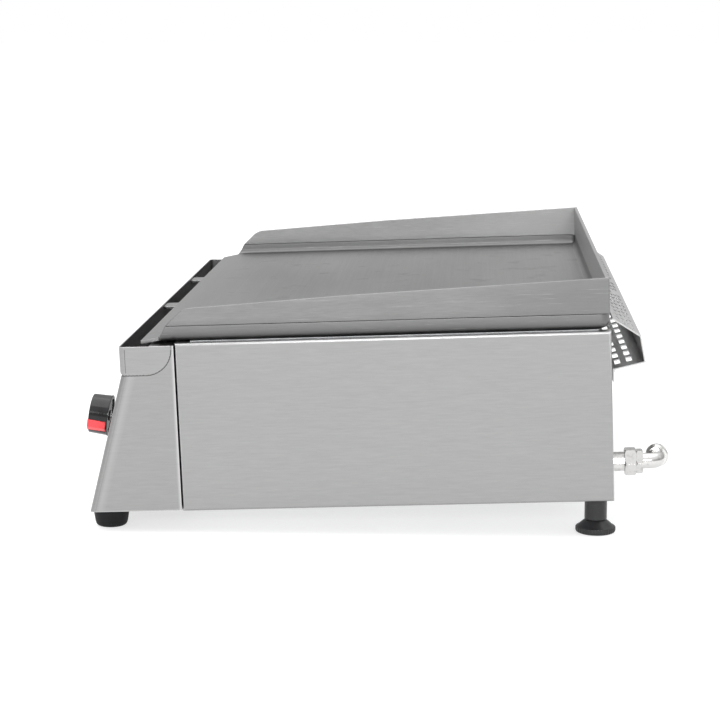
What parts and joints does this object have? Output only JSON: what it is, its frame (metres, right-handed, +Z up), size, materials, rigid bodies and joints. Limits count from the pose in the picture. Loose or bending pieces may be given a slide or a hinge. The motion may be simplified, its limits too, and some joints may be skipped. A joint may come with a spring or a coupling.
{
  "type": "flat top griddle",
  "caption": "Countertop gas griddle: flat plate with raised splash sheets, front grease trough and drawer, sloping control panel, rear flue cover and levelling feet.",
  "frame": {"origin": "on the counter, under the middle of the whole object's box", "axes": "+X to the operator's right, +Y from the knobs towards the flue, +Z up; the housing leans 2.17 degrees, its back raised"},
  "size_m": [0.73, 0.6249, 0.2725],
  "materials": {
    "steel": "brushed stainless sheet",
    "plate": "ground steel plate and rims, matt",
    "galvanised": "zinc coated steel",
    "chrome": "bright plated",
    "brass": "bare",
    "copper": "bare drawn tube",
    "cast": "heat blackened",
    "rubber": "matt black",
    "knob": "gloss black",
    "pointer": "satin red"
  },
  "bodies": {
    "housing": {"griddle_pan": "plate", "side_splash_left": "plate", "side_splash_right": "plate", "rear_splash": "plate", "pan_support_left": "galvanised", "pan_support_right": "galvanised", "base_plate": "galvanised", "burner_rest_front": "galvanised", "burner_rest_back": "galvanised", "gas_manifold": "galvanised", "drawer_runner_left": "galvanised", "drawer_runner_right": "galvanised", "side_panel_left": "steel", "side_panel_right": "steel", "front_panel": "steel", "grease_trough": "steel", "trough_strap_left": "steel", "trough_strap_right": "steel", "trough_spout": "steel", "rear_panel": "steel", "flue_cover": "steel", "flue_screw_1": "chrome", "flue_screw_2": "chrome", "flue_screw_3": "chrome", "igniter_barrel": "chrome", "inlet_pipe": "chrome", "union_nut": "chrome", "inlet_elbow": "chrome", "inlet_collar": "chrome", "burner_left": "cast", "burner_right": "cast", "venturi_left": "cast", "venturi_right": "cast", "jet_left": "brass", "jet_right": "brass", "valve_left": "brass", "valve_right": "brass", "thermocouple_left": "copper", "thermocouple_right": "copper", "gas_tube_left": "copper", "gas_tube_right": "copper", "front_foot_left": "rubber", "front_foot_right": "rubber", "rear_leg_left": "rubber", "rear_leg_right": "rubber", "knob_bezel_left": "knob", "knob_bezel_right": "knob"},
    "tap_left": {"spindle_left": "chrome"},
    "tap_right": {"spindle_right": "chrome"},
    "knob_cap_left": {"knob_left": "knob", "knob_pointer_left": "pointer"},
    "knob_cap_right": {"knob_right": "knob", "knob_pointer_right": "pointer"},
    "drawer": {"drawer_tray": "steel", "drawer_front": "steel", "drawer_bracket": "galvanised", "drawer_handle": "chrome"},
    "igniter_key": {"igniter_button": "knob"},
    "rear_foot_left": {"rear_foot_left": "rubber"},
    "rear_foot_right": {"rear_foot_right": "rubber"}
  },
  "joints": [
    {"name": "tap_turn_left", "type": "hinge", "parent": "housing", "child": "tap_left", "pos_m": [-0.3, -0.27306, 0.11059], "axis": [0, -0.9909, 0.1347], "range_deg": [0, 180]},
    {"name": "knob_push_left", "type": "slide", "parent": "tap_left", "child": "knob_cap_left", "axis": [0, 0.9909, -0.1347], "range_m": [0, 0.0035], "stiffness_N_per_m": 600},
    {"name": "rear_foot_screw_left", "type": "slide", "parent": "housing", "child": "rear_foot_left", "axis": [0, 0, -1], "range_m": [0, 0.01]},
    {"name": "tap_turn_right", "type": "hinge", "parent": "housing", "child": "tap_right", "pos_m": [0.3, -0.27306, 0.11059], "axis": [0, -0.9909, 0.1347], "range_deg": [0, 180]},
    {"name": "knob_push_right", "type": "slide", "parent": "tap_right", "child": "knob_cap_right", "axis": [0, 0.9909, -0.1347], "range_m": [0, 0.0035], "stiffness_N_per_m": 600},
    {"name": "rear_foot_screw_right", "type": "slide", "parent": "housing", "child": "rear_foot_right", "axis": [0, 0, -1], "range_m": [0, 0.01]},
    {"name": "drawer_slide", "type": "slide", "parent": "housing", "child": "drawer", "axis": [0, -0.9993, -0.0379], "range_m": [0, 0.19]},
    {"name": "igniter_press", "type": "slide", "parent": "housing", "child": "igniter_key", "axis": [0, 0.9714, -0.2376], "range_m": [0, 0.004], "stiffness_N_per_m": 400}
  ]
}
